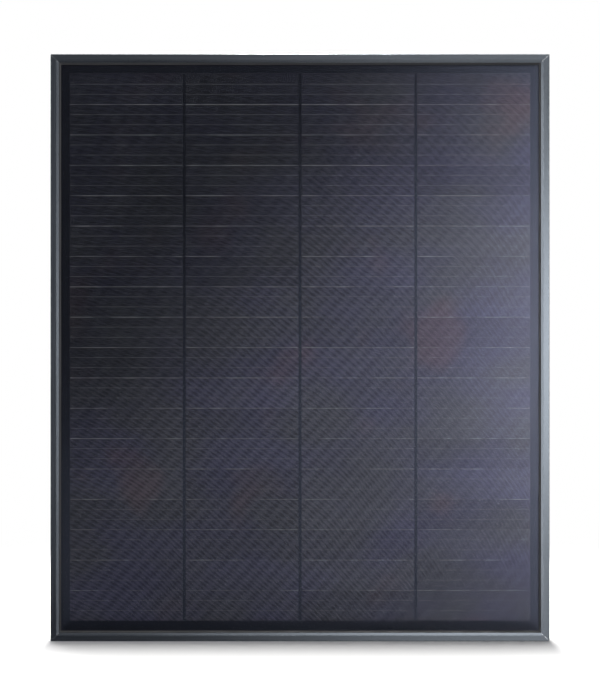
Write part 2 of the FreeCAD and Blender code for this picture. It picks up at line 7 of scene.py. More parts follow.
import bpy
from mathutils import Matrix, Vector

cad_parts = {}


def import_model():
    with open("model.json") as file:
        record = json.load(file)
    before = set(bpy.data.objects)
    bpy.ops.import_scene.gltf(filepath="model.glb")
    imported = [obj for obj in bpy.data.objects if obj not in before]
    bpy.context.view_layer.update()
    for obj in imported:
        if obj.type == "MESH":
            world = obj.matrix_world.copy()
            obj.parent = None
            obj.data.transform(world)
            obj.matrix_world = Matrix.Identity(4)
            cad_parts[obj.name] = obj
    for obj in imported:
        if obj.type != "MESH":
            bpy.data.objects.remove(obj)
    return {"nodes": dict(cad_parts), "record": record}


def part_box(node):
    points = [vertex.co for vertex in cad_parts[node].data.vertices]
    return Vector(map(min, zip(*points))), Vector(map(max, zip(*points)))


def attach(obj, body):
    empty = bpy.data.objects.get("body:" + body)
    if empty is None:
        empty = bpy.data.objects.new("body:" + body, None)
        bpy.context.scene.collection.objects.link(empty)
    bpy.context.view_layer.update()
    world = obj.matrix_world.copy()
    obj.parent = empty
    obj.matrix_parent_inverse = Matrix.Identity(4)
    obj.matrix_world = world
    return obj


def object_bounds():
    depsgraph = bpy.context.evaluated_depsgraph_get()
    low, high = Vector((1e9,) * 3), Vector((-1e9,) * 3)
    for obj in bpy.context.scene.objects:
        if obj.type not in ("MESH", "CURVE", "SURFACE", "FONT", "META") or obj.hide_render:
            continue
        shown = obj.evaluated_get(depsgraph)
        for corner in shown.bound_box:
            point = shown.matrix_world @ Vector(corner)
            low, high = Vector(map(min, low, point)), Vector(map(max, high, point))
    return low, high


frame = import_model()
CAD_LOW, CAD_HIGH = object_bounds()

MM = 0.001

# What part.py fixes about the rails, the strips and the box
LIP_REACH = 11.7 * MM
STRING_COUNT = 4
STRIPS_PER_STRING = 18
STRIP_OVERLAP = 1.2 * MM
STRIP_THICKNESS = 0.2 * MM
NECK_RADIUS = 6.2 * MM

# Places read from the frame
HALF_WIDTH = CAD_HIGH.x
HALF_HEIGHT = CAD_HIGH.z
FRONT_Y = CAD_LOW.y
GLASS_FRONT_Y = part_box("front_glass")[0].y
FIELD_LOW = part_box("cell_string_1")[0]
FIELD_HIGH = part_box(f"cell_string_{STRING_COUNT}")[1]
STRIP_PITCH = (FIELD_HIGH.z - FIELD_LOW.z - STRIP_OVERLAP) / STRIPS_PER_STRING
STRIP_HEIGHT = STRIP_PITCH + STRIP_OVERLAP
STRING_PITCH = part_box("cell_string_2")[0].x - FIELD_LOW.x
STRIP_RISE = (FIELD_HIGH.y - FIELD_LOW.y - STRIP_THICKNESS) / STRIP_HEIGHT
BACKSHEET_BACK_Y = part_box("backsheet")[1].y

# The rails' die lines, by the axis they run along, and their rubbed and bare metal
DIE_LINES = {"X": (7, 900, 900), "Z": (900, 900, 7)}
EDGE_WEAR_REACH = 1.2 * MM
MITRE_BARE = 0.2 * MM
MITRE_EDGE = 0.75 * MM

# Broad painted shade and painted highlight on the blacks behind the glass, darker towards the upper left
# and lighter near the right edge: where each starts and ends, and the tint's share at each
PAINTED_SHADE_DRIFT = -0.9 * HALF_HEIGHT, 0.25 * HALF_HEIGHT, 0.20, 1.0
PAINTED_HIGHLIGHT_EDGE = 0.55 * HALF_WIDTH, HALF_WIDTH, 1.0, 1.36

# Tints and grain that more than one material has
BONDED_TINTS = (0.0250, 0.0275, 0.0410), (0.0310, 0.0335, 0.0480)
TIN_TINTS = (0.55, 0.55, 0.53), (0.80, 0.80, 0.78)
LEAD_GRAIN = 300, 300, 40
LEAD_COATING_END = 0.4 * MM

# The pattern woven by the glass and the fingers: its spacings, how far its rows wander, their
# slope and how fast it grows, how much the stitches break them, and their strength at the right
WEAVE_ROW = 8.0 * MM
WEAVE_STITCH = 21.0 * MM
WEAVE_STITCH_LEAN = 0.9
WEAVE_STITCH_SHARE = 0.7
WEAVE_WANDER = 50.0 * MM
WEAVE_SLANT = 0.75
WEAVE_TURN = 0.85
WEAVE_FADED = 0.45

# Silver printed on each strip
FINGERS_PER_STRIP = 108
FINGER_WIDTH = 0.05 * MM
FINGER_END_GAPS = 0.4 * MM, 0.1 * MM
PRINT_HEIGHT = 0.012 * MM
PRINT_CLEARANCE = 0.003 * MM
CROSS_LINES_PER_STRIP = 2
CROSS_LINE_WIDTH = 0.17 * MM
CROSS_LINE_INSET = 0.8 * MM
BUSBAR_INSET = 0.5 * MM
BUSBAR_HIDDEN = 0.8 * MM
BUSBAR_SHOWING = 0.38 * MM
BUSBAR_SHOWING_RANGE = 0.12 * MM, 0.55 * MM
BUSBAR_STEP_CHANGE = 0.12 * MM
BUSBAR_STEPS = 52
BUSBAR_SEED = 100

# Beads of silicone. Each profile point is how far it lies from the bead's line and how high it
# stands, in mm. A wave is its random seed and how uneven it makes the bead.
# The glass bead is wider than the real sealant: its black also stands in for the lip's shadow and
# reflection in the glass, painted shade.
GLASS_BEAD_AND_SHADE_PROFILE = (0.0, 0.0), (0.0, 0.95), (0.5, 0.72), (1.1, 0.45), (1.8, 0.20), (2.5, 0.05), (2.8, 0.0)
BOX_BEAD = (0.0, 0.05), (0.0, 1.9), (3.3, 1.9), (4.2, 1.2), (4.9, 0.5), (5.4, 0.02)
GLASS_BEAD_STATION = 5 * MM
BOX_BEAD_STATION = 3 * MM
GLASS_BEAD_WAVE = 7, 0.12
BOX_BEAD_WAVE = 23, 0.18

# Relief on the lid: spans are heights above its lowest edge, sizes are width and height
LID_RIBS_PER_SIDE = 5
LID_RIB_PITCH = 8 * MM
LID_RIB_SPAN = 22 * MM, 66 * MM
LID_RIB_SIZE = 2.4 * MM, 0.7 * MM
LID_BORDER_SPAN = 10 * MM, 76 * MM
LID_BORDER_HALF_WIDTH = 47 * MM
LID_BORDER_SIZE = 1.6 * MM, 0.5 * MM

# Thread on the gland necks
THREAD_TURNS = 2
THREAD_STEPS = 40
THREAD_PITCH = 1.25 * MM
THREAD_ROOT = NECK_RADIUS - 0.3 * MM
THREAD_CREST = NECK_RADIUS + 0.45 * MM
THREAD_HALF_WIDTH = 0.3 * MM
THREAD_GAP = 0.1 * MM

# The blank label's empty table, its column edges as shares of its width
LABEL_MARGIN = 3 * MM
LABEL_ROWS = 7
LABEL_COLUMN_EDGES = 0.0, 0.55, 1.0
LABEL_LINE_SIZE = 0.35 * MM, 0.02 * MM

# A low ridge's cross section and rounded ends
RIDGE_SEGMENTS = 8
RIDGE_END_STEPS = 4
RIDGE_TIP = 0.02

BACKWARD = (0, 1, 0)
RING_SIDES = 4

# Camera, in mm, and the share of the frame's height that the panel fills
LENS = 85.0
SENSOR = 36.0
PANEL_SHARE = 0.8413
AIM_DROP = 1.8 * MM

# Floor, white out to one radius and clear from another
FLOOR_RADIUS = 1.3
FLOOR_PLAIN = 0.75
FLOOR_CLEAR = 0.95 * FLOOR_RADIUS
FLOOR_SIDES = 96

# Room: how far off its lights are, its own glow, and a brighter glow behind the panel
ROOM_DEPTH = 20.0
ROOM_GLOW = 0.11
REAR_GLOW = 0.6
REAR_GLOW_TOWARDS = (0.0, 1.0, 0.25)
REAR_GLOW_REACH = 0.3, 1.5

# Lights in front of the panel: name, X and Z of the middle, shape, size, and radiance
MIRRORED_LIGHTS = (
    ("window", 4.0, 0.0, "ELLIPSE", (3.4, 4.4), 9.8),
    ("ceiling", 2.7, 9.2, "ELLIPSE", (7.0, 4.8), 14.2),
    ("floor_glow", 3.5, -4.8, "ELLIPSE", (7.2, 3.0), 2.05),
    ("left_wall", -8.4, 0.0, "RECTANGLE", (2.2, 8.4), 13.2),
    ("right_wall", 9.2, 0.0, "RECTANGLE", (2.4, 8.0), 0.3),
    ("haze", 3.4, 0.0, "ELLIPSE", (11.0, 11.0), 0.50),
    ("low_wall", 0.0, -12.5, "ELLIPSE", (18.0, 9.0), 0.5),
)

# The other lights: side ones by name, X and radiance, one overhead, and a fill behind
SIDE_LIGHTS = ("side_left", -ROOM_DEPTH, 1.5), ("side_right", ROOM_DEPTH, 2.5)
SIDE_LIGHT_PLACE = (-3.0, 3.0)
SIDE_LIGHT_SIZE = (16.0, 14.0)
OVERHEAD_BACK = 2.25
OVERHEAD_SIZE = (0.8, 4.3)
OVERHEAD = 590.0
REAR_FILL_PLACE = (-1.2, 2.4, 1.2)
REAR_FILL_SIZE = (1.6, 1.2)
REAR_FILL = 7.5


# ---------------------------------------------------------------- node helpers

class Shader:
    """A new material's node tree, with a short way to make each kind of node."""

    def __init__(self, name):
        self.material = bpy.data.materials.new(name)
        self.material.use_nodes = True
        self.tree = self.material.node_tree
        self.tree.nodes.clear()
        self.output = self.tree.nodes.new("ShaderNodeOutputMaterial")
        self.place = self.tree.nodes.new("ShaderNodeTexCoord").outputs["Object"]

    def put(self, socket, value):
        """Links a socket to another node's output, or sets its value."""
        if isinstance(value, bpy.types.NodeSocket):
            self.tree.links.new(value, socket)
        elif isinstance(value, tuple):
            socket.default_value = (*value, 1.0)
        else:
            socket.default_value = value

    def maths(self, operation, first, second=0.0):
        """A value worked out from one or two others."""
        node = self.tree.nodes.new("ShaderNodeMath")
        node.operation = operation
        self.put(node.inputs[0], first)
        self.put(node.inputs[1], second)
        return node.outputs[0]

    def plus(self, first, second):
        return self.maths("ADD", first, second)

    def minus(self, first, second):
        return self.maths("SUBTRACT", first, second)

    def times(self, first, second):
        return self.maths("MULTIPLY", first, second)

    def apart(self, first, second):
        """How far apart two values are."""
        return self.maths("ABSOLUTE", self.minus(first, second))

    def axis(self, letter):
        """One coordinate of the object's own place."""
        node = self.tree.nodes.new("ShaderNodeSeparateXYZ")
        self.put(node.inputs[0], self.place)
        return node.outputs[letter]

    def pitches(self, letter, start, pitch):
        """How many pitches a point lies along an axis from a start."""
        return self.maths("DIVIDE", self.minus(self.axis(letter), start), pitch)

    def join(self, x, y, z):
        """A vector from three values."""
        node = self.tree.nodes.new("ShaderNodeCombineXYZ")
        for socket, value in zip(node.inputs, (x, y, z)):
            self.put(socket, value)
        return node.outputs[0]

    def stretched(self, x, y, z):
        """The object's place, scaled along each axis."""
        node = self.tree.nodes.new("ShaderNodeMapping")
        self.put(node.inputs["Vector"], self.place)
        node.inputs["Scale"].default_value = (x, y, z)
        return node.outputs[0]

    def noise(self, scale, detail=2.0, vector=None, roughness=0.5):
        """A smooth random value from 0 to 1, at the object's own place unless another is given."""
        node = self.tree.nodes.new("ShaderNodeTexNoise")
        self.put(node.inputs["Vector"], vector or self.place)
        self.put(node.inputs["Scale"], scale)
        self.put(node.inputs["Detail"], detail)
        self.put(node.inputs["Roughness"], roughness)
        return node.outputs["Fac"]

    def spread(self, value, low, high, to_low=0.0, to_high=1.0, smooth=False):
        """A value mapped from one range to another, and held inside it."""
        node = self.tree.nodes.new("ShaderNodeMapRange")
        node.interpolation_type = "SMOOTHSTEP" if smooth else "LINEAR"
        self.put(node.inputs["Value"], value)
        self.put(node.inputs["From Min"], low)
        self.put(node.inputs["From Max"], high)
        self.put(node.inputs["To Min"], to_low)
        self.put(node.inputs["To Max"], to_high)
        return node.outputs["Result"]

    def mix(self, factor, first, second, blend="MIX"):
        """Two colours mixed."""
        node = self.tree.nodes.new("ShaderNodeMix")
        node.data_type = "RGBA"
        node.blend_type = blend
        self.put(node.inputs["Factor"], factor)
        self.put(node.inputs[6], first)
        self.put(node.inputs[7], second)
        return node.outputs[2]

    def shaded(self, tint, shade):
        """A colour made lighter or darker by a factor."""
        return self.mix(1.0, tint, self.join(shade, shade, shade), "MULTIPLY")

    def bump(self, height, distance, strength=1.0, normal=None):
        """A normal tilted by a height, on top of another normal if one is given."""
        node = self.tree.nodes.new("ShaderNodeBump")
        self.put(node.inputs["Strength"], strength)
        self.put(node.inputs["Distance"], distance)
        self.put(node.inputs["Height"], height)
        if normal is not None:
            self.put(node.inputs["Normal"], normal)
        return node.outputs[0]

    def make(self, kind, **values):
        """A node's first output, its inputs set by name, with _ for a space."""
        node = self.tree.nodes.new(kind)
        for name, value in values.items():
            self.put(node.inputs[name.replace("_", " ")], value)
        return node.outputs[0]

    def principled(self, **values):
        return self.make("ShaderNodeBsdfPrincipled", **values)

    def blend(self, share, first, second):
        """Two surface shaders mixed."""
        node = self.tree.nodes.new("ShaderNodeMixShader")
        for socket, value in zip(node.inputs, (share, first, second)):
            self.put(socket, value)
        return node.outputs[0]

    def finish(self, surface):
        """Makes a surface shader the material's own, and gives the material."""
        self.put(self.output.inputs["Surface"], surface)
        return self.material


# ---------------------------------------------------------------- materials

def near_line(shader, letter, line, reach):
    """1 on a plane across an axis at both plus and minus line, fading to 0 a reach away."""
    distance = shader.apart(shader.maths("ABSOLUTE", shader.axis(letter)), line)
    return shader.spread(distance, 0.0, reach, 1.0, 0.0, smooth=True)


def bare_mitre(shader):
    """1 on the bare sawn edges that meet at the four mitres, patchy along them."""
    inset_x = shader.minus(HALF_WIDTH, shader.maths("ABSOLUTE", shader.axis("X")))
    inset_z = shader.minus(HALF_HEIGHT, shader.maths("ABSOLUTE", shader.axis("Z")))
    patchy = shader.spread(shader.noise(260.0, 3.0), 0.35, 0.6)
    line = shader.spread(shader.apart(inset_x, inset_z), MITRE_BARE, MITRE_EDGE, 1.0, 0.0, smooth=True)
    return shader.times(line, patchy)


def black_anodised(along):
    """Black anodised extrusion: die lines along it, cloudy tint, and rubbed outer edges."""
    shader = Shader(f"black_anodised_{along.lower()}")
    grain = shader.noise(1.0, 3.0, shader.stretched(*DIE_LINES[along]))
    cloud = shader.noise(9.0, 3.0)
    tint = shader.mix(cloud, (0.065, 0.0745, 0.086), (0.076, 0.0855, 0.097))
    tint = shader.mix(shader.spread(grain, 0.3, 0.7), tint, (0.085, 0.0945, 0.106))
    across, outer = {"X": ("Z", HALF_HEIGHT), "Z": ("X", HALF_WIDTH)}[along]
    outer_edge = near_line(shader, across, outer, EDGE_WEAR_REACH)
    front_edge = near_line(shader, "Y", -FRONT_Y, EDGE_WEAR_REACH)
    edge = shader.times(outer_edge, front_edge)
    scuffs = shader.spread(shader.noise(160.0, 5.0, roughness=0.7), 0.48, 0.62)
    wear = shader.times(edge, scuffs)
    tint = shader.mix(shader.times(wear, 0.6), tint, (0.40, 0.41, 0.42))
    tint = shader.mix(bare_mitre(shader), tint, (0.45, 0.46, 0.47))
    roughness = shader.spread(grain, 0.2, 0.8, 0.19, 0.24)
    pores = shader.times(shader.noise(2600.0, 2.0), 0.35)
    normal = shader.bump(shader.plus(grain, pores), 0.006 * MM, 0.4)
    return shader.finish(shader.principled(
        Base_Color=tint, Metallic=1.0, Roughness=roughness, Normal=normal))


def mill_aluminium():
    """Bare extruded or sawn aluminium."""
    shader = Shader("mill_aluminium")
    grain = shader.noise(1.0, 3.0, shader.stretched(900, 60, 900))
    tint = shader.mix(grain, (0.60, 0.61, 0.62), (0.78, 0.79, 0.80))
    roughness = shader.spread(grain, 0.2, 0.8, 0.28, 0.5)
    return shader.finish(shader.principled(
        Base_Color=tint, Metallic=1.0, Roughness=roughness, Normal=shader.bump(grain, 0.01 * MM)))


def weave(shader):
    """A slanting twill of short dashes, as the patterned glass shows over the fingers.

    The rows lie steeper towards the lower right, and fade towards the right.
    """
    across = shader.axis("X")
    up = shader.axis("Z")
    lower_right = shader.minus(shader.times(across, 0.5), up)
    slope = shader.plus(shader.times(lower_right, WEAVE_TURN), WEAVE_SLANT)
    slanted = shader.plus(up, shader.times(across, slope))
    wandering = shader.plus(slanted, shader.times(shader.noise(5.0, 1.0), WEAVE_WANDER))
    rows = shader.maths("SINE", shader.times(wandering, 2 * math.pi / WEAVE_ROW))
    along_rows = shader.minus(across, shader.times(up, WEAVE_STITCH_LEAN))
    stitches = shader.maths("SINE", shader.times(along_rows, 2 * math.pi / WEAVE_STITCH))
    woven = shader.plus(rows, shader.times(stitches, WEAVE_STITCH_SHARE))
    uneven = shader.spread(shader.noise(140.0, 2.0), 0.3, 0.7, -0.5, 0.5)
    dashed = shader.spread(shader.plus(woven, uneven), -1.2, 0.9)
    strength = shader.spread(across, 0.0, 0.75 * HALF_WIDTH, 1.0, WEAVE_FADED, smooth=True)
    return shader.plus(shader.times(shader.minus(dashed, 0.5), strength), 0.5)


def front_glass():
    """Rolled low-iron glass with a fine prismatic pattern: clear, with a soft reflection of its own."""
    shader = Shader("front_glass")
    pattern = shader.noise(420.0, 2.0)
    haze = shader.noise(3.5, 4.0)
    gloss = shader.make(
        "ShaderNodeBsdfAnisotropic",
        Color=shader.mix(weave(shader), (0.17, 0.18, 0.25), (0.26, 0.27, 0.34)),
        Roughness=shader.spread(haze, 0.3, 0.7, 0.17, 0.22),
        Normal=shader.bump(pattern, 0.008 * MM, 0.3))
    clear = shader.make("ShaderNodeBsdfTransparent", Color=(0.975, 0.985, 0.98))
    fresnel = shader.make("ShaderNodeFresnel", IOR=1.5)
    inside = shader.tree.nodes.new("ShaderNodeNewGeometry").outputs["Backfacing"]
    share = shader.times(fresnel, shader.minus(1.0, inside))
    return shader.finish(shader.blend(share, clear, gloss))


def clear_encapsulant():
    """Cured clear bonding film: almost invisible, with a faint uneven haze."""
    shader = Shader("clear_encapsulant")
    haze = shader.spread(shader.noise(26.0, 4.0), 0.35, 0.7, 0.001, 0.006)
    clear = shader.make("ShaderNodeBsdfTransparent", Color=(0.985, 0.985, 0.98))
    milk = shader.make("ShaderNodeBsdfDiffuse", Color=(0.55, 0.57, 0.62))
    return shader.finish(shader.blend(haze, clear, milk))


def painted_shade_and_highlight(shader):
    """Painted shade and painted highlight over the panel: the blacks behind the glass are darkened
    towards the upper left and lightened near the right edge.
    """
    lower_right = shader.minus(shader.axis("X"), shader.axis("Z"))
    # painted shade: darkest towards the upper left
    painted_shade = shader.spread(lower_right, *PAINTED_SHADE_DRIFT, smooth=True)
    # painted highlight: lighter towards the right edge
    painted_highlight = shader.spread(shader.axis("X"), *PAINTED_HIGHLIGHT_EDGE)
    return shader.times(painted_shade, painted_highlight)


def bonded_black(name, dark, light, grain_scale):
    """A black part bonded behind the glass, which sends back only a faint cloudy sheen."""
    shader = Shader(name)
    cloud = shader.noise(22.0, 3.0)
    grain = shader.noise(grain_scale, 3.0)
    # The tint carries painted shade towards the upper left and a painted highlight near the right edge.
    tint = shader.shaded(shader.mix(cloud, dark, light), painted_shade_and_highlight(shader))
    roughness = shader.spread(grain, 0.3, 0.7, 0.29, 0.33)
    return shader.finish(shader.principled(
        Base_Color=tint, Metallic=0.9, Roughness=roughness,
        Specular_IOR_Level=0.0, Normal=shader.bump(grain, 0.003 * MM, 0.5)))


def strip_number(shader):
    """A vector that is the same all over one cell strip and differs from strip to strip."""
    column = shader.maths("FLOOR", shader.pitches("X", FIELD_LOW.x, STRING_PITCH))
    row = shader.maths("FLOOR", shader.pitches("Z", FIELD_LOW.z, STRIP_PITCH))
    return shader.join(column, row, 0.0)


def solar_cell():
    """Coated silicon: blue-black, each strip a little different, with broad patches drifting bluer and
    warmer.
    """
    shader = Shader("solar_cell")
    own = shader.tree.nodes.new("ShaderNodeTexWhiteNoise")
    shader.put(own.inputs["Vector"], strip_number(shader))
    drift = shader.noise(6.5, 2.0, shader.stretched(1.0, 1.0, 1.6))
    bluer = shader.spread(drift, 0.35, 0.65, smooth=True)
    warmer = shader.spread(shader.noise(8.0, 2.0), 0.56, 0.70, smooth=True)
    tint = shader.mix(bluer, (0.0448, 0.0444, 0.0585), (0.0440, 0.0428, 0.0710))
    tint = shader.mix(shader.times(warmer, 0.4), tint, (0.080, 0.050, 0.060))
    shade = shader.spread(own.outputs["Value"], 0.0, 1.0, 0.86, 1.12)
    shade = shader.times(shade, shader.spread(weave(shader), 0.0, 1.0, 0.72, 1.24))
    # Painted shade towards the upper left and a painted highlight near the right edge.
    shade = shader.times(shade, painted_shade_and_highlight(shader))
    pyramids = shader.noise(5200.0, 1.0)
    return shader.finish(shader.principled(
        Base_Color=shader.shaded(tint, shade), Metallic=0.9, Roughness=0.29,
        Specular_IOR_Level=0.0, Normal=shader.bump(pyramids, 0.004 * MM, 0.6)))


def silver_print():
    """Fired silver paste: matte, grainy and a little tarnished."""
    shader = Shader("silver_print")
    grain = shader.noise(1500.0, 3.0)
    blotch = shader.noise(70.0, 3.0)
    tint = shader.mix(grain, (0.15, 0.15, 0.155), (0.26, 0.26, 0.27))
    tint = shader.mix(shader.spread(blotch, 0.4, 0.65), tint, (0.10, 0.10, 0.105))
    roughness = shader.spread(grain, 0.2, 0.8, 0.29, 0.36)
    return shader.finish(shader.principled(
        Base_Color=tint, Metallic=0.7, Roughness=roughness,
        Specular_IOR_Level=0.0, Normal=shader.bump(grain, 0.006 * MM)))


def metal(name, dark, light, roughness, stretch):
    """A drawn, stamped or plated metal, its streaks along whichever axis is stretched least."""
    shader = Shader(name)
    grain = shader.noise(1.0, 4.0, shader.stretched(*stretch))
    spots = shader.noise(240.0, 3.0)
    tint = shader.mix(grain, dark, light)
    tint = shader.mix(shader.spread(spots, 0.58, 0.7, 0.0, 0.35), tint, dark)
    uneven = shader.spread(grain, 0.25, 0.75, roughness - 0.08, roughness + 0.1)
    return shader.finish(shader.principled(
        Base_Color=tint, Metallic=1.0, Roughness=uneven, Normal=shader.bump(grain, 0.008 * MM)))


def coated_lead():
    """A tinned ribbon, coated black where it runs inside the laminate and bare in the box."""
    shader = Shader("coated_lead")
    grain = shader.noise(1.0, 4.0, shader.stretched(*LEAD_GRAIN))
    bare = shader.spread(shader.axis("Y"), BACKSHEET_BACK_Y, BACKSHEET_BACK_Y + LEAD_COATING_END)
    tin = shader.mix(grain, *TIN_TINTS)
    coat = shader.mix(grain, (0.018, 0.020, 0.029), (0.024, 0.026, 0.036))
    roughness = shader.spread(grain, 0.25, 0.75, 0.34, 0.5)
    return shader.finish(shader.principled(
        Base_Color=shader.mix(bare, coat, tin), Metallic=0.9, Roughness=roughness,
        Specular_IOR_Level=0.0, Normal=shader.bump(grain, 0.008 * MM)))


def moulded(name, dark, light, roughness, grain_scale, grain_height):
    """A moulded plastic or rubber with a fine even grain and faint cloudy gloss."""
    shader = Shader(name)
    grain = shader.noise(grain_scale, 3.0)
    cloud = shader.noise(22.0, 3.0)
    uneven = shader.spread(cloud, 0.3, 0.7, roughness - 0.06, roughness + 0.07)
    return shader.finish(shader.principled(
        Base_Color=shader.mix(cloud, dark, light), Roughness=uneven,
        Normal=shader.bump(grain, grain_height, 0.7)))


def black_silicone():
    """Tooled silicone: smooth, faintly rippled, a little dusty."""
    shader = Shader("black_silicone")
    ripple = shader.noise(55.0, 2.0)
    dust = shader.spread(shader.noise(900.0, 4.0), 0.6, 0.75, 0.0, 0.3)
    tint = shader.mix(dust, (0.010, 0.010, 0.012), (0.060, 0.060, 0.062))
    roughness = shader.spread(ripple, 0.3, 0.7, 0.34, 0.5)
    return shader.finish(shader.principled(
        Base_Color=tint, Roughness=roughness, Normal=shader.bump(ripple, 0.12 * MM, 0.6)))


def step_line(shader, letter, start, pitch, width):
    """1 on the lines that repeat at a pitch along an axis, fading out in a share of the pitch."""
    share = shader.maths("FRACT", shader.pitches(letter, start, pitch))
    return shader.spread(shader.apart(share, 0.5), 0.5 - width, 0.5, smooth=True)


def black_backsheet():
    """Satin film pressed over the strings, so that their outlines show faintly through it."""
    shader = Shader("black_backsheet")
    rows = step_line(shader, "Z", FIELD_LOW.z, STRIP_PITCH, 0.04)
    columns = step_line(shader, "X", FIELD_LOW.x, STRING_PITCH, 0.008)
    peel = shader.noise(700.0, 3.0)
    wave = shader.noise(12.0, 2.0)
    normal = shader.bump(shader.maths("MAXIMUM", rows, columns), 0.05 * MM, 0.5)
    normal = shader.bump(peel, 0.02 * MM, 0.6, normal)
    normal = shader.bump(wave, 0.6 * MM, 0.25, normal)
    tint = shader.mix(wave, (0.014, 0.015, 0.017), (0.024, 0.025, 0.028))
    streaks = shader.noise(1.0, 5.0, shader.stretched(18, 18, 240))
    scuff = shader.spread(streaks, 0.62, 0.72, 0.0, 0.4)
    tint = shader.mix(scuff, tint, (0.050, 0.051, 0.054))
    roughness = shader.spread(peel, 0.3, 0.7, 0.42, 0.55)
    return shader.finish(shader.principled(Base_Color=tint, Roughness=roughness, Normal=normal))


def label_film():
    """A blank satin sticker, a little creased and soiled."""
    shader = Shader("label_film")
    soil = shader.spread(shader.noise(60.0, 4.0), 0.5, 0.75, 0.0, 0.5)
    crease = shader.noise(1.0, 3.0, shader.stretched(40, 40, 160))
    tint = shader.mix(soil, (0.62, 0.63, 0.62), (0.50, 0.50, 0.48))
    roughness = shader.spread(crease, 0.3, 0.7, 0.3, 0.45)
    return shader.finish(shader.principled(
        Base_Color=tint, Roughness=roughness, Normal=shader.bump(crease, 0.08 * MM, 0.4)))


BOX_PLASTIC = moulded(
    "black_box_plastic", (0.018, 0.018, 0.020), (0.030, 0.030, 0.033), 0.46, 1900.0, 0.03 * MM)
SILICONE = black_silicone()
SILVER = silver_print()
COATED_LEAD = coated_lead()
RAIL_MATERIALS = {"X": black_anodised("X"), "Z": black_anodised("Z")}
SLOT_MATERIALS = {
    "mill_aluminium": mill_aluminium(),
    "black_silicone": SILICONE,
    "front_glass": front_glass(),
    "clear_encapsulant": clear_encapsulant(),
    "black_encapsulant": bonded_black("black_encapsulant", *BONDED_TINTS, 500.0),
    "black_backsheet": black_backsheet(),
    "solar_cell": solar_cell(),
    "black_ribbon": bonded_black("black_ribbon", *BONDED_TINTS, 800.0),
    "tinned_copper": metal("tinned_copper", *TIN_TINTS, 0.35, LEAD_GRAIN),
    "black_insulation": bonded_black("black_insulation", *BONDED_TINTS, 700.0),
    "black_box_plastic": BOX_PLASTIC,
    "black_nut_plastic": moulded(
        "black_nut_plastic", (0.014, 0.014, 0.015), (0.024, 0.024, 0.026), 0.38, 1300.0, 0.02 * MM),
    "grey_rubber": moulded(
        "grey_rubber", (0.15, 0.15, 0.15), (0.23, 0.23, 0.23), 0.62, 1500.0, 0.02 * MM),
    "pin_steel": metal("pin_steel", (0.45, 0.45, 0.46), (0.68, 0.68, 0.69), 0.25, (30, 600, 600)),
    "spring_steel": metal("spring_steel", (0.42, 0.42, 0.44), (0.62, 0.62, 0.64), 0.3, (60, 600, 600)),
    "diode_epoxy": moulded(
        "diode_epoxy", (0.012, 0.012, 0.012), (0.020, 0.020, 0.020), 0.4, 2200.0, 0.015 * MM),
    "label_film": label_film(),
}
LEADS = ("lead_positive", "lead_middle", "lead_negative")


def dress_frame():
    """Gives every CAD node the material of its slot, and each rail the one whose grain runs along it."""
    for subpart in frame["record"]["subparts"]:
        name = subpart["node"]
        if name in LEADS:
            material = COATED_LEAD
        elif subpart["material_slot"] == "black_anodised":
            low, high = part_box(name)
            material = RAIL_MATERIALS["X" if high.x - low.x > high.z - low.z else "Z"]
        else:
            material = SLOT_MATERIALS[subpart["material_slot"]]
        mesh = frame["nodes"][name].data
        mesh.materials.clear()
        mesh.materials.append(material)


# ---------------------------------------------------------------- mesh helpers

def add_piece(name, shape, material, body="panel", smooth=False):
    """A new mesh piece, of vertices and faces, that rides on a body."""
    vertices, faces = shape
    mesh = bpy.data.meshes.new(name)
    mesh.from_pydata([tuple(v) for v in vertices], [], [tuple(f) for f in faces])
    mesh.materials.append(material)
    if smooth:
        mesh.shade_smooth()
    mesh.update()
    piece = bpy.data.objects.new(name, mesh)
    bpy.context.scene.collection.objects.link(piece)
    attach(piece, body)


def merge(parts):
    """Several (vertices, faces) pairs as one."""
    vertices = []
    faces = []
    for part_vertices, part_faces in parts:
        base = len(vertices)
        vertices.extend(part_vertices)
        faces.extend(tuple(base + index for index in face) for face in part_faces)
    return vertices, faces


def wavy(seed, amount):
    """A smooth random factor about 1 for each station of a ring, the same at the corners."""
    draw = random.Random(seed)
    waves = [(draw.uniform(2, 9), draw.uniform(0, 2 * math.pi)) for _ in range(5)]

    def factor(side, share):
        swing = sum(math.sin(2 * math.pi * rate * (share + side) + phase) for rate, phase in waves)
        return 1.0 + amount * math.sin(math.pi * share) * swing / len(waves)

    return factor


def ring_place(side, station, reach):
    """A point on one side of a rectangle about the origin, its station from -1 to 1 along the side."""
    return {
        0: (station * reach[0], -reach[1]),
        1: (reach[0], station * reach[1]),
        2: (-station * reach[0], reach[1]),
        3: (-reach[0], -station * reach[1]),
    }[side]


def ring_sweep(centre, half, profile, spacing, wobble):
    """A profile swept round a rectangle in the XZ plane, as vertices and faces.

    Each profile point is (offset outward, Y). wobble gives a factor for the offset at each station.
    """
    vertices = []
    for offset, y in profile:
        for side in range(RING_SIDES):
            count = max(2, round(2 * half[side % 2] / spacing))
            for index in range(count):
                own = offset * wobble(side, index / count)
                reach = (half[0] + own, half[1] + own)
                x, z = ring_place(side, index / count * 2 - 1, reach)
                vertices.append((centre[0] + x, y, centre[1] + z))
    stations = len(vertices) // len(profile)
    faces = []
    for row in range(len(profile)):
        base = row * stations
        next_base = (row + 1) % len(profile) * stations
        for index in range(stations):
            after = (index + 1) % stations
            faces.append((base + index, base + after, next_base + after, next_base + index))
    return vertices, faces


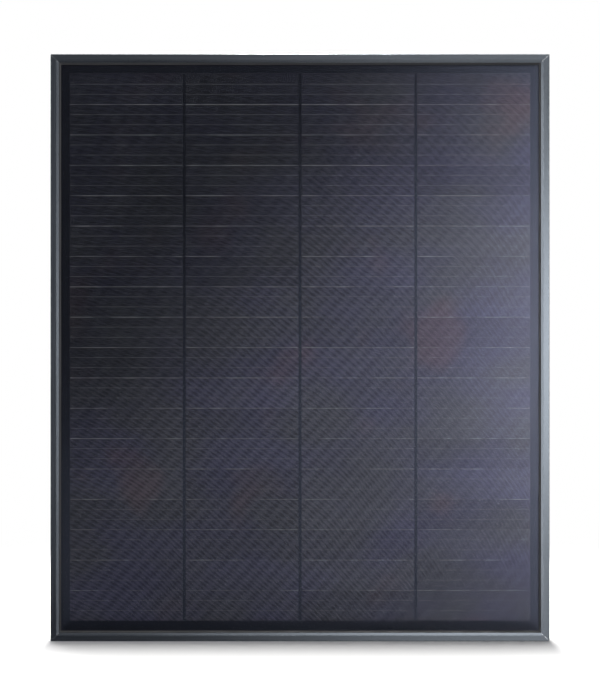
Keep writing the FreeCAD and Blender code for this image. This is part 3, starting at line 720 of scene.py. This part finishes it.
def low_ridge(start, end, size):
    """A low rounded ridge on a face turned backward, from one point to another."""
    width, height = size
    start, end, outward = Vector(start), Vector(end), Vector(BACKWARD)
    along = (end - start).normalized()
    across = along.cross(outward)
    turns = [math.pi * k / RIDGE_SEGMENTS for k in range(RIDGE_SEGMENTS + 1)]
    section = [across * width / 2 * math.cos(turn) + outward * height * math.sin(turn) for turn in turns]
    angles = [math.pi / 2 * step / RIDGE_END_STEPS for step in range(RIDGE_END_STEPS + 1)]
    rows = [(start - along * width / 2 * math.cos(angle), math.sin(angle)) for angle in angles]
    rows += [(end + along * width / 2 * math.cos(angle), math.sin(angle)) for angle in reversed(angles)]
    vertices = []
    for middle, share in rows:
        vertices.extend(middle + point * max(share, RIDGE_TIP) for point in section)
    columns = len(section)
    faces = []
    for row in range(len(rows) - 1):
        base = row * columns
        for first in range(base, base + columns - 1):
            faces.append((first, first + columns, first + columns + 1, first + 1))
        faces.append((base, base + columns - 1, base + 2 * columns - 1, base + columns))
    last = (len(rows) - 1) * columns
    faces.append(tuple(range(columns)))
    faces.append(tuple(range(last + columns - 1, last - 1, -1)))
    return vertices, faces


# ---------------------------------------------------------------- printed silver on the cells

def strip_point(x, row, height, proud):
    """A point a little proud of a strip's face, at a height above the strip's lower edge."""
    y = FIELD_LOW.y + height * STRIP_RISE - proud
    return (x, y, FIELD_LOW.z + row * STRIP_PITCH + height)


def print_ridge(row, start, end, across):
    """A low printed line on a strip, from one (x, height) point to another.

    across is the step, in x and in height, from its middle to one of its edges.
    """
    vertices = []
    for x, height in (start, end):
        for side, proud in ((-1, PRINT_CLEARANCE), (0, PRINT_HEIGHT), (1, PRINT_CLEARANCE)):
            vertices.append(strip_point(x + side * across[0], row, height + side * across[1], proud))
    return vertices, [(0, 1, 4, 3), (1, 2, 5, 4)]


def cell_fingers(string):
    """The fine upright fingers printed on every strip of one string."""
    low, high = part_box(f"cell_string_{string}")
    pitch = (high.x - low.x) / FINGERS_PER_STRIP
    bottom_gap, top_gap = FINGER_END_GAPS
    parts = []
    for row in range(STRIPS_PER_STRING):
        for finger in range(FINGERS_PER_STRIP):
            x = low.x + (finger + 0.5) * pitch
            parts.append(print_ridge(
                row, (x, bottom_gap), (x, STRIP_PITCH - top_gap), (FINGER_WIDTH / 2, 0.0)))
    add_piece(f"cell_fingers_{string}", merge(parts), SILVER)


def cross_lines(row, left, right):
    """The lines that join one strip's fingers part of the way up."""
    start_x = left + CROSS_LINE_INSET
    end_x = right - CROSS_LINE_INSET
    lines = []
    for index in range(1, CROSS_LINES_PER_STRIP + 1):
        height = STRIP_PITCH * index / (CROSS_LINES_PER_STRIP + 1)
        lines.append(print_ridge(row, (start_x, height), (end_x, height), (0.0, CROSS_LINE_WIDTH / 2)))
    return lines


def busbar_sliver(row, left, right, showings):
    """What shows of a strip's busbar below the strip above, its lower edge as uneven as showings."""
    start_x = left + BUSBAR_INSET
    length = right - left - 2 * BUSBAR_INSET
    lower = []
    upper = []
    for step, showing in enumerate(showings):
        x = start_x + length * step / BUSBAR_STEPS
        lower.append(strip_point(x, row, STRIP_PITCH - showing, PRINT_CLEARANCE))
        upper.append(strip_point(x, row, STRIP_PITCH + BUSBAR_HIDDEN, PRINT_HEIGHT))
    stations = len(lower)
    faces = [(k, k + 1, stations + k + 1, stations + k) for k in range(BUSBAR_STEPS)]
    return lower + upper, faces


def busbar_showings(draw):
    """How much busbar shows at each step along a strip, a random walk between its limits."""
    least, most = BUSBAR_SHOWING_RANGE
    showing = BUSBAR_SHOWING
    showings = []
    for _ in range(BUSBAR_STEPS + 1):
        showing += draw.uniform(-BUSBAR_STEP_CHANGE, BUSBAR_STEP_CHANGE)
        showing = min(max(showing, least), most)
        showings.append(showing)
    return showings


def cell_busbars(string):
    """Each strip's cross lines, and the sliver of busbar that shows below the strip above."""
    low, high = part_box(f"cell_string_{string}")
    draw = random.Random(BUSBAR_SEED + string)
    parts = []
    for row in range(STRIPS_PER_STRING):
        parts.extend(cross_lines(row, low.x, high.x))
        if row < STRIPS_PER_STRING - 1:
            parts.append(busbar_sliver(row, low.x, high.x, busbar_showings(draw)))
    add_piece(f"cell_busbars_{string}", merge(parts), SILVER)


# ---------------------------------------------------------------- front and back details

def glass_bead_and_painted_shade():
    """The tooled bead between the lip and the glass, all round, wider than the real sealant so that its
    black also stands in for the lip's shadow and reflection in the glass: partly sealant, partly painted
    shade.
    """
    profile = [(-inset * MM, GLASS_FRONT_Y - rise * MM) for inset, rise in GLASS_BEAD_AND_SHADE_PROFILE]
    half = (HALF_WIDTH - LIP_REACH, HALF_HEIGHT - LIP_REACH)
    shape = ring_sweep((0.0, 0.0), half, profile, GLASS_BEAD_STATION, wavy(*GLASS_BEAD_WAVE))
    add_piece("glass_bead_and_painted_shade", shape, SILICONE, smooth=True)


def box_adhesive_bead():
    """Silicone pressed out round the junction box."""
    low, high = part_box("junction_box_adhesive")
    profile = [(reach * MM, low.y + rise * MM) for reach, rise in BOX_BEAD]
    centre = ((low.x + high.x) / 2, (low.z + high.z) / 2)
    half = ((high.x - low.x) / 2, (high.z - low.z) / 2)
    shape = ring_sweep(centre, half, profile, BOX_BEAD_STATION, wavy(*BOX_BEAD_WAVE))
    add_piece("box_adhesive_bead", shape, SILICONE, smooth=True)


def lid_ribs():
    """Upright ribs and a raised border moulded on the lid."""
    low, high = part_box("junction_box_lid")
    y = high.y
    rib_low, rib_high = (low.z + height for height in LID_RIB_SPAN)
    border_low, border_high = (low.z + height for height in LID_BORDER_SPAN)
    parts = []
    for index in range(-LID_RIBS_PER_SIDE, LID_RIBS_PER_SIDE + 1):
        x = index * LID_RIB_PITCH
        parts.append(low_ridge((x, y, rib_low), (x, y, rib_high), LID_RIB_SIZE))
    corners = [
        (-LID_BORDER_HALF_WIDTH, y, border_low),
        (LID_BORDER_HALF_WIDTH, y, border_low),
        (LID_BORDER_HALF_WIDTH, y, border_high),
        (-LID_BORDER_HALF_WIDTH, y, border_high),
    ]
    for start, end in zip(corners, corners[1:] + corners[:1]):
        parts.append(low_ridge(start, end, LID_BORDER_SIZE))
    add_piece("lid_ribs", merge(parts), BOX_PLASTIC, "lid", smooth=True)


def gland_threads(side):
    """The turns of thread that show between a gland nut and the box."""
    nut_low, nut_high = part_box(f"gland_nut_{side}")
    centre_x = (nut_low.x + nut_high.x) / 2
    centre_y = (nut_low.y + nut_high.y) / 2
    section = (
        (THREAD_ROOT, -THREAD_HALF_WIDTH),
        (THREAD_CREST, 0.0),
        (THREAD_ROOT, THREAD_HALF_WIDTH),
    )
    corners = len(section)
    steps = THREAD_TURNS * THREAD_STEPS
    vertices = []
    faces = []
    for step in range(steps + 1):
        angle = 2 * math.pi * step / THREAD_STEPS
        middle_z = nut_high.z + THREAD_GAP + THREAD_PITCH * step / THREAD_STEPS
        for radius, rise in section:
            x = centre_x + radius * math.cos(angle)
            y = centre_y + radius * math.sin(angle)
            vertices.append((x, y, middle_z + rise))
    for first in range(0, steps * corners, corners):
        for k in range(corners):
            after = (k + 1) % corners
            faces.append((first + k, first + corners + k, first + corners + after, first + after))
    last = steps * corners
    faces.append((0, 1, 2))
    faces.append((last + 2, last + 1, last))
    add_piece(f"gland_threads_{side}", (vertices, faces), BOX_PLASTIC)


def label_lines():
    """A printed border and empty table on the blank label."""
    low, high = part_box("rating_label")
    y = high.y
    left, right = low.x + LABEL_MARGIN, high.x - LABEL_MARGIN
    bottom, top = low.z + LABEL_MARGIN, high.z - LABEL_MARGIN
    parts = []
    for row in range(LABEL_ROWS + 1):
        z = bottom + (top - bottom) * row / LABEL_ROWS
        parts.append(low_ridge((left, y, z), (right, y, z), LABEL_LINE_SIZE))
    for share in LABEL_COLUMN_EDGES:
        x = left + (right - left) * share
        parts.append(low_ridge((x, y, bottom), (x, y, top), LABEL_LINE_SIZE))
    add_piece("label_lines", merge(parts), BOX_PLASTIC)


# ---------------------------------------------------------------- stage

def camera():
    """A long lens square on to the glass, the panel filling most of the frame."""
    data = bpy.data.cameras.new("camera")
    data.lens = LENS
    data.sensor_width = SENSOR
    eye = bpy.data.objects.new("camera", data)
    bpy.context.scene.collection.objects.link(eye)
    seen_height = (CAD_HIGH.z - CAD_LOW.z) / PANEL_SHARE
    distance = seen_height * LENS / SENSOR
    eye.location = (0.0, FRONT_Y - distance, (CAD_LOW.z + CAD_HIGH.z) / 2 - AIM_DROP)
    eye.rotation_euler = (math.pi / 2, 0.0, 0.0)
    bpy.context.scene.camera = eye


def floor_material():
    """A matte white that turns clear towards the floor's rim."""
    shader = Shader("floor")
    fog = shader.noise(3.0, 2.0)
    tint = shader.mix(fog, (0.86, 0.85, 0.83), (0.88, 0.87, 0.85))
    matte = shader.principled(Base_Color=tint, Roughness=0.8)
    clear = shader.make("ShaderNodeBsdfTransparent")
    length = shader.tree.nodes.new("ShaderNodeVectorMath")
    length.operation = "LENGTH"
    shader.put(length.inputs[0], shader.place)
    fade = shader.spread(length.outputs["Value"], FLOOR_PLAIN, FLOOR_CLEAR, smooth=True)
    return shader.finish(shader.blend(fade, matte, clear))


def floor():
    """A plain white floor that fades out into the white surroundings."""
    turns = [2 * math.pi * k / FLOOR_SIDES for k in range(FLOOR_SIDES)]
    rim = [(FLOOR_RADIUS * math.cos(turn), FLOOR_RADIUS * math.sin(turn), 0.0) for turn in turns]
    mesh = bpy.data.meshes.new("floor")
    mesh.from_pydata(rim, [], [tuple(range(FLOOR_SIDES))])
    mesh.materials.append(floor_material())
    plane = bpy.data.objects.new("floor", mesh)
    plane.location = (0.0, 0.0, CAD_LOW.z)
    plane.visible_glossy = False
    bpy.context.scene.collection.objects.link(plane)


def area_light(name, place, aim, shape, size, radiance):
    """A soft light of an even brightness, seen only in what it lights and what mirrors it."""
    data = bpy.data.lights.new(name, "AREA")
    data.shape = shape
    data.size, data.size_y = size
    area = size[0] * size[1]
    if shape == "ELLIPSE":
        area *= math.pi / 4
    data.energy = radiance * math.pi * area
    lamp = bpy.data.objects.new(name, data)
    lamp.location = place
    lamp.visible_camera = False
    lamp.rotation_euler = (Vector(aim) - Vector(place)).to_track_quat("-Z", "Y").to_euler()
    bpy.context.scene.collection.objects.link(lamp)


def world():
    """White where the camera looks past the panel, and elsewhere a dim room, brighter behind it."""
    surround = bpy.data.worlds.new("studio")
    bpy.context.scene.world = surround
    surround.use_nodes = True
    tree = surround.node_tree
    tree.nodes.clear()

    def background(colour, strength=1.0):
        shade = tree.nodes.new("ShaderNodeBackground")
        shade.inputs["Color"].default_value = (*colour, 1.0)
        shade.inputs["Strength"].default_value = strength
        return shade

    def combine(kind, *shades):
        node = tree.nodes.new(kind)
        for socket, shade in zip(node.inputs, shades):
            tree.links.new(shade, socket)
        return node.outputs[0]

    away = tree.nodes.new("ShaderNodeVectorMath")
    away.operation = "DISTANCE"
    away.inputs[1].default_value = Vector(REAR_GLOW_TOWARDS).normalized()
    direction = tree.nodes.new("ShaderNodeTexCoord").outputs["Generated"]
    tree.links.new(direction, away.inputs[0])
    fade = tree.nodes.new("ShaderNodeMapRange")
    fade.interpolation_type = "SMOOTHERSTEP"
    tree.links.new(away.outputs["Value"], fade.inputs["Value"])
    fade.inputs["From Min"].default_value, fade.inputs["From Max"].default_value = REAR_GLOW_REACH
    fade.inputs["To Min"].default_value = REAR_GLOW
    fade.inputs["To Max"].default_value = 0.0

    room = background((0.90, 0.95, 1.16), ROOM_GLOW)
    rear_glow = background((0.98, 1.0, 1.05))
    tree.links.new(fade.outputs["Result"], rear_glow.inputs["Strength"])
    mirrored = combine("ShaderNodeAddShader", room.outputs[0], rear_glow.outputs[0])
    white = background((1.0, 1.0, 1.0))
    straight = tree.nodes.new("ShaderNodeLightPath").outputs["Is Camera Ray"]
    seen = combine("ShaderNodeMixShader", straight, mirrored, white.outputs[0])
    output = tree.nodes.new("ShaderNodeOutputWorld")
    tree.links.new(seen, output.inputs["Surface"])


def lights():
    """What the glass and rails mirror, a lamp each side and overhead, and a fill behind."""
    middle = (0.0, 0.0, 0.0)
    for name, x, z, shape, size, radiance in MIRRORED_LIGHTS:
        area_light(name, (x, -ROOM_DEPTH, z), middle, shape, size, radiance)
    for name, x, radiance in SIDE_LIGHTS:
        area_light(name, (x, *SIDE_LIGHT_PLACE), middle, "ELLIPSE", SIDE_LIGHT_SIZE, radiance)
    lamp = (0.0, OVERHEAD_BACK, ROOM_DEPTH)
    below_lamp = (0.0, OVERHEAD_BACK, 0.0)
    area_light("overhead", lamp, below_lamp, "RECTANGLE", OVERHEAD_SIZE, OVERHEAD)
    area_light("rear_fill", REAR_FILL_PLACE, middle, "RECTANGLE", REAR_FILL_SIZE, REAR_FILL)


dress_frame()
for string_number in range(1, STRING_COUNT + 1):
    cell_fingers(string_number)
    cell_busbars(string_number)
glass_bead_and_painted_shade()
lid_ribs()
box_adhesive_bead()
for side_name in ("left", "right"):
    gland_threads(side_name)
label_lines()
camera()
floor()
world()
lights()
bpy.context.scene.view_settings.view_transform = "Standard"
